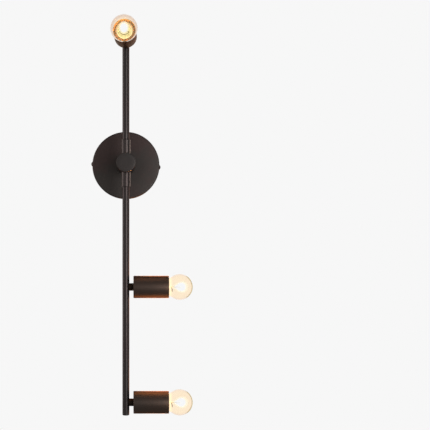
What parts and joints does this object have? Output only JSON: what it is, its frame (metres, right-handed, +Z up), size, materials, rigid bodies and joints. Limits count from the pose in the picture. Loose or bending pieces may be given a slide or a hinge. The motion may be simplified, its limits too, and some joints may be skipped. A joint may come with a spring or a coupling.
{
  "type": "wall lamp",
  "caption": "Wall lamp: a slim upright rod stands off a round canopy on a thick post and carries short cups with bare round bulbs that swing round the rod.",
  "frame": {"origin": "middle of the canopy, on the wall plane", "axes": "+Y into the wall, -Y out to the front, +Z up along the rod, +X to the right seen from the front"},
  "size_m": [0.1781, 0.2152, 0.673],
  "materials": {
    "bronze": "satin oil-rubbed bronze coat on steel and aluminium",
    "zinc": "zinc-plated steel",
    "green_screw": "green dyed zinc plate",
    "copper": "bare copper wire",
    "black_steel": "black oxide steel",
    "lead_jacket": "black jacket of a two-core lead",
    "connector_plastic": "moulded nylon, orange",
    "holder_moulding": "black phenolic moulding",
    "brass": "bare brass",
    "bulb_glass": "clear lit glass",
    "nickel": "nickel-plated brass",
    "black_glass": "black vitreous insulator",
    "solder": "solder tip",
    "filament": "glowing filament on its supports and glass stem"
  },
  "bodies": {
    "root": {"canopy": "bronze", "side_screws": "bronze", "box_bar": "zinc", "ear_bar": "zinc", "ground_screw": "green_screw", "ground_lead": "copper", "post_washer": "zinc", "post_nut": "zinc", "post_nipple": "zinc", "post": "bronze", "sleeve": "bronze", "stop_screws": "black_steel", "hub_leads": "lead_jacket", "wire_connectors": "connector_plastic"},
    "cap": {"front_cap": "bronze", "cap_stud": "zinc"},
    "upper_arm": {"upper_tube": "bronze", "top_plug": "bronze", "lamp_lead_top": "lead_jacket", "arm_nipple_top": "zinc", "collar_top": "bronze", "cup_top": "bronze", "cup_nut_top": "zinc", "holder_top": "holder_moulding", "screw_shell_top": "brass", "centre_contact_top": "brass"},
    "lower_arm": {"lower_tube": "bronze", "bottom_plug": "bronze", "lamp_lead_middle": "lead_jacket", "lamp_lead_bottom": "lead_jacket", "arm_nipple_middle": "zinc", "collar_middle": "bronze", "cup_middle": "bronze", "cup_nut_middle": "zinc", "holder_middle": "holder_moulding", "screw_shell_middle": "brass", "centre_contact_middle": "brass", "arm_nipple_bottom": "zinc", "collar_bottom": "bronze", "cup_bottom": "bronze", "cup_nut_bottom": "zinc", "holder_bottom": "holder_moulding", "screw_shell_bottom": "brass", "centre_contact_bottom": "brass"},
    "bulb_top": {"globe_top": "bulb_glass", "bulb_cap_top": "nickel", "insulator_top": "black_glass", "bulb_contact_top": "solder", "filament_mount_top": "filament"},
    "bulb_middle": {"globe_middle": "bulb_glass", "bulb_cap_middle": "nickel", "insulator_middle": "black_glass", "bulb_contact_middle": "solder", "filament_mount_middle": "filament"},
    "bulb_bottom": {"globe_bottom": "bulb_glass", "bulb_cap_bottom": "nickel", "insulator_bottom": "black_glass", "bulb_contact_bottom": "solder", "filament_mount_bottom": "filament"}
  },
  "joints": [
    {"name": "upper_swing", "type": "hinge", "parent": "root", "child": "upper_arm", "pos_m": [0, -0.1, 0], "axis": [0, 0, 1], "range_deg": [-133, 137]},
    {"name": "lower_swing", "type": "hinge", "parent": "root", "child": "lower_arm", "pos_m": [0, -0.1, 0], "axis": [0, 0, 1], "range_deg": [-225, 45]},
    {"name": "cap_turn", "type": "hinge", "parent": "root", "child": "cap", "pos_m": [0, -0.132, 0], "axis": [0, -1, 0], "continuous": true},
    {"name": "bulb_out_top", "type": "slide", "parent": "upper_arm", "child": "bulb_top", "axis": [-0.0349, -0.9994, 0], "range_m": [0, 0.034]},
    {"name": "bulb_out_middle", "type": "slide", "parent": "lower_arm", "child": "bulb_middle", "axis": [1, 0, 0], "range_m": [0, 0.034]},
    {"name": "bulb_out_bottom", "type": "slide", "parent": "lower_arm", "child": "bulb_bottom", "axis": [1, 0, 0], "range_m": [0, 0.034]}
  ]
}
